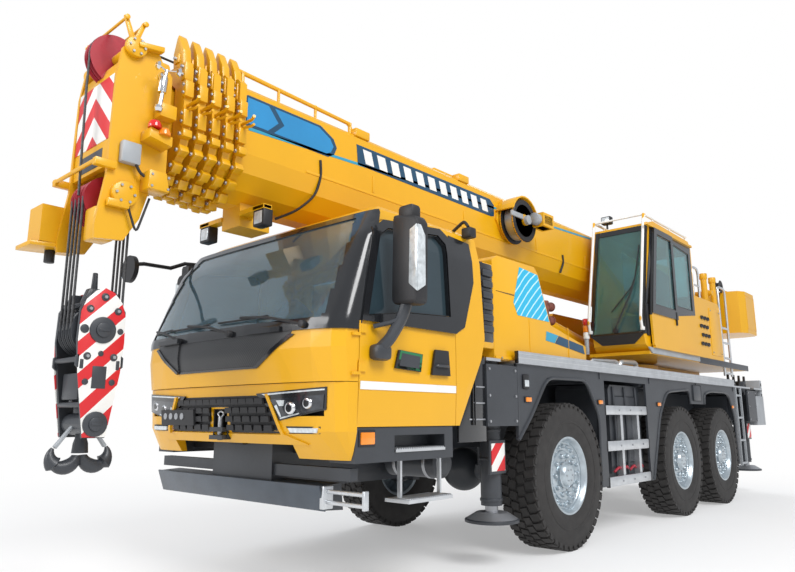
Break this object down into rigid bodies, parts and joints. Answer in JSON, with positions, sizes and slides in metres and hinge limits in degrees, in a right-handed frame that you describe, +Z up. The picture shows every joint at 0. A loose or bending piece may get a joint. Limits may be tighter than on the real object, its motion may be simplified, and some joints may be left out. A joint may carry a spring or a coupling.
{
  "type": "all-terrain crane",
  "caption": "All-terrain truck crane with steered axles, turning upper structure, telescopic luffing boom, hook block, cabs, counterweight and sliding outriggers with jacks.",
  "frame": {"origin": "on the ground under the middle of the crane's length and width", "axes": "+X forward, +Y to the crane's left, +Z up"},
  "size_m": [11.65, 3.14, 3.9225],
  "materials": {
    "paint_yellow": "gloss",
    "paint_dark": "satin",
    "paint_grey": "satin",
    "paint_red": "gloss",
    "aluminium": "satin",
    "steel": "satin",
    "chrome": "polished",
    "glass": "clear",
    "tyre": "matte",
    "plastic_black": "matte",
    "rope": "satin"
  },
  "bodies": {
    "carrier": {"chassis_frame": "paint_dark", "axle_beams": "paint_dark", "drive_unit": "paint_dark", "carrier_cab": "paint_yellow", "front_bumper": "paint_yellow", "cab_trim": "plastic_black", "cab_glass": "glass", "cab_interior": "plastic_black", "side_skirts": "paint_dark", "carrier_deck": "aluminium", "engine_cover": "paint_yellow", "side_tanks": "paint_dark", "side_guards": "aluminium", "rear_locker": "paint_grey"},
    "cab_door_left": {"cab_door_left": "paint_yellow", "door_glass_left": "glass", "mirror_left": "plastic_black"},
    "cab_door_right": {"cab_door_right": "paint_yellow", "door_glass_right": "glass", "mirror_right": "plastic_black"},
    "steer_1l_knuckle": {"knuckle_1l": "paint_dark"},
    "wheel_1l": {"wheel_1l": "tyre"},
    "steer_1r_knuckle": {"knuckle_1r": "paint_dark"},
    "wheel_1r": {"wheel_1r": "tyre"},
    "steer_2l_knuckle": {"knuckle_2l": "paint_dark"},
    "wheel_2l": {"wheel_2l": "tyre"},
    "steer_2r_knuckle": {"knuckle_2r": "paint_dark"},
    "wheel_2r": {"wheel_2r": "tyre"},
    "steer_3l_knuckle": {"knuckle_3l": "paint_dark"},
    "wheel_3l": {"wheel_3l": "tyre"},
    "steer_3r_knuckle": {"knuckle_3r": "paint_dark"},
    "wheel_3r": {"wheel_3r": "tyre"},
    "outrigger_beam_fl": {"outrigger_beam_fl": "paint_dark"},
    "outrigger_jack_fl": {"outrigger_jack_fl": "steel"},
    "outrigger_beam_fr": {"outrigger_beam_fr": "paint_dark"},
    "outrigger_jack_fr": {"outrigger_jack_fr": "steel"},
    "outrigger_beam_rl": {"outrigger_beam_rl": "paint_dark"},
    "outrigger_jack_rl": {"outrigger_jack_rl": "steel"},
    "outrigger_beam_rr": {"outrigger_beam_rr": "paint_dark"},
    "outrigger_jack_rr": {"outrigger_jack_rr": "steel"},
    "turntable": {"turntable": "paint_yellow", "counterweight": "paint_yellow", "operator_cab": "paint_yellow", "operator_glass": "glass", "operator_seat": "plastic_black", "service_housing": "paint_yellow"},
    "operator_door": {"operator_door": "paint_yellow"},
    "hoist_drum": {"hoist_drum": "steel"},
    "boom_base": {"boom_base": "paint_yellow"},
    "boom_2": {"boom_2": "paint_yellow"},
    "boom_3": {"boom_3": "paint_yellow"},
    "boom_4": {"boom_4": "paint_yellow"},
    "boom_5": {"boom_5": "paint_yellow"},
    "boom_head": {"boom_head": "paint_yellow", "head_sheaves": "paint_red"},
    "luff_barrel": {"luff_barrel": "paint_yellow"},
    "luff_rod": {"luff_rod": "chrome"},
    "hoist_falls": {"hoist_falls": "rope"},
    "hook_block": {"hook_block": "paint_dark"},
    "double_hook": {"double_hook": "paint_dark"}
  },
  "joints": [
    {"name": "steer_1l", "type": "hinge", "parent": "carrier", "child": "steer_1l_knuckle", "pos_m": [1.5, 0.8, 0.68], "axis": [0, 0, 1], "range_deg": [-30, 30]},
    {"name": "roll_1l", "type": "hinge", "parent": "steer_1l_knuckle", "child": "wheel_1l", "pos_m": [1.5, 1.076, 0.68], "axis": [0, 1, 0], "continuous": true},
    {"name": "steer_1r", "type": "hinge", "parent": "carrier", "child": "steer_1r_knuckle", "pos_m": [1.5, -0.8, 0.68], "axis": [0, 0, 1], "range_deg": [-30, 30]},
    {"name": "roll_1r", "type": "hinge", "parent": "steer_1r_knuckle", "child": "wheel_1r", "pos_m": [1.5, -1.076, 0.68], "axis": [0, 1, 0], "continuous": true},
    {"name": "steer_2l", "type": "hinge", "parent": "carrier", "child": "steer_2l_knuckle", "pos_m": [-1.55, 0.8, 0.68], "axis": [0, 0, 1], "range_deg": [-12, 12]},
    {"name": "roll_2l", "type": "hinge", "parent": "steer_2l_knuckle", "child": "wheel_2l", "pos_m": [-1.55, 1.076, 0.68], "axis": [0, 1, 0], "continuous": true},
    {"name": "steer_2r", "type": "hinge", "parent": "carrier", "child": "steer_2r_knuckle", "pos_m": [-1.55, -0.8, 0.68], "axis": [0, 0, 1], "range_deg": [-12, 12]},
    {"name": "roll_2r", "type": "hinge", "parent": "steer_2r_knuckle", "child": "wheel_2r", "pos_m": [-1.55, -1.076, 0.68], "axis": [0, 1, 0], "continuous": true},
    {"name": "steer_3l", "type": "hinge", "parent": "carrier", "child": "steer_3l_knuckle", "pos_m": [-3.2, 0.8, 0.68], "axis": [0, 0, 1], "range_deg": [-22, 22]},
    {"name": "roll_3l", "type": "hinge", "parent": "steer_3l_knuckle", "child": "wheel_3l", "pos_m": [-3.2, 1.076, 0.68], "axis": [0, 1, 0], "continuous": true},
    {"name": "steer_3r", "type": "hinge", "parent": "carrier", "child": "steer_3r_knuckle", "pos_m": [-3.2, -0.8, 0.68], "axis": [0, 0, 1], "range_deg": [-22, 22]},
    {"name": "roll_3r", "type": "hinge", "parent": "steer_3r_knuckle", "child": "wheel_3r", "pos_m": [-3.2, -1.076, 0.68], "axis": [0, 1, 0], "continuous": true},
    {"name": "cab_door_left_hinge", "type": "hinge", "parent": "carrier", "child": "cab_door_left", "pos_m": [4.361, 1.278, 1.9], "axis": [0, 0, 1], "range_deg": [-70, 0]},
    {"name": "cab_door_right_hinge", "type": "hinge", "parent": "carrier", "child": "cab_door_right", "pos_m": [4.361, -1.278, 1.9], "axis": [0, 0, 1], "range_deg": [0, 70]},
    {"name": "extend_fl", "type": "slide", "parent": "carrier", "child": "outrigger_beam_fl", "axis": [0, 1, 0], "range_m": [0, 1.45]},
    {"name": "jack_fl", "type": "slide", "parent": "outrigger_beam_fl", "child": "outrigger_jack_fl", "axis": [0, 0, -1], "range_m": [0, 0.6]},
    {"name": "extend_fr", "type": "slide", "parent": "carrier", "child": "outrigger_beam_fr", "axis": [0, -1, 0], "range_m": [0, 1.45]},
    {"name": "jack_fr", "type": "slide", "parent": "outrigger_beam_fr", "child": "outrigger_jack_fr", "axis": [0, 0, -1], "range_m": [0, 0.6]},
    {"name": "extend_rl", "type": "slide", "parent": "carrier", "child": "outrigger_beam_rl", "axis": [0, 1, 0], "range_m": [0, 1.45]},
    {"name": "jack_rl", "type": "slide", "parent": "outrigger_beam_rl", "child": "outrigger_jack_rl", "axis": [0, 0, -1], "range_m": [0, 0.6]},
    {"name": "extend_rr", "type": "slide", "parent": "carrier", "child": "outrigger_beam_rr", "axis": [0, -1, 0], "range_m": [0, 1.45]},
    {"name": "jack_rr", "type": "slide", "parent": "outrigger_beam_rr", "child": "outrigger_jack_rr", "axis": [0, 0, -1], "range_m": [0, 0.6]},
    {"name": "slew", "type": "hinge", "parent": "carrier", "child": "turntable", "pos_m": [-2.25, 0, 1.86], "axis": [0, 0, 1], "continuous": true},
    {"name": "operator_door_slide", "type": "slide", "parent": "turntable", "child": "operator_door", "axis": [-1, 0, 0], "range_m": [0, 0.72]},
    {"name": "hoist_drum_turn", "type": "hinge", "parent": "turntable", "child": "hoist_drum", "pos_m": [-4.72, 0, 2.33], "axis": [0, 1, 0], "continuous": true},
    {"name": "boom_luff", "type": "hinge", "parent": "turntable", "child": "boom_base", "pos_m": [-3.7, 0, 3.05], "axis": [0, -1, 0], "range_deg": [0, 82]},
    {"name": "telescope_2", "type": "slide", "parent": "boom_base", "child": "boom_2", "axis": [1, 0, 0], "range_m": [0, 7.2]},
    {"name": "telescope_3", "type": "slide", "parent": "boom_2", "child": "boom_3", "axis": [1, 0, 0], "range_m": [0, 7.2]},
    {"name": "telescope_4", "type": "slide", "parent": "boom_3", "child": "boom_4", "axis": [1, 0, 0], "range_m": [0, 7.2]},
    {"name": "telescope_5", "type": "slide", "parent": "boom_4", "child": "boom_5", "axis": [1, 0, 0], "range_m": [0, 7.2]},
    {"name": "telescope_head", "type": "slide", "parent": "boom_5", "child": "boom_head", "axis": [1, 0, 0], "range_m": [0, 7.2]},
    {"name": "luff_barrel_pin", "type": "hinge", "parent": "turntable", "child": "luff_barrel", "pos_m": [-1.85, 0, 2.11], "axis": [0, -1, 0], "range_deg": [0, 88.2]},
    {"name": "luff_rod_slide", "type": "slide", "parent": "luff_barrel", "child": "luff_rod", "axis": [0.9841, 0, 0.1774], "range_m": [0, 2.7]},
    {"name": "falls_plumb", "type": "hinge", "parent": "boom_head", "child": "hoist_falls", "pos_m": [5.59, 0, 2.65], "axis": [0, -1, 0], "range_deg": [-83, 0.5]},
    {"name": "hook_hoist", "type": "slide", "parent": "hoist_falls", "child": "hook_block", "axis": [0, 0, -1], "range_m": [-0.15, 3.5], "deforming": ["hoist_falls"]},
    {"name": "hook_swivel", "type": "hinge", "parent": "hook_block", "child": "double_hook", "pos_m": [5.59, 0, 1.2], "axis": [0, 0, 1], "continuous": true}
  ],
  "couplings": [
    {"joint": "steer_1r", "follows": "steer_1l", "ratio": 1},
    {"joint": "steer_2r", "follows": "steer_2l", "ratio": 1},
    {"joint": "steer_3r", "follows": "steer_3l", "ratio": 1},
    {"joint": "luff_barrel_pin", "follows": "boom_luff", "ratio": 1.0632},
    {"joint": "luff_rod_slide", "follows": "boom_luff", "m_per_rad": 1.8797},
    {"joint": "falls_plumb", "follows": "boom_luff", "ratio": -1}
  ]
}
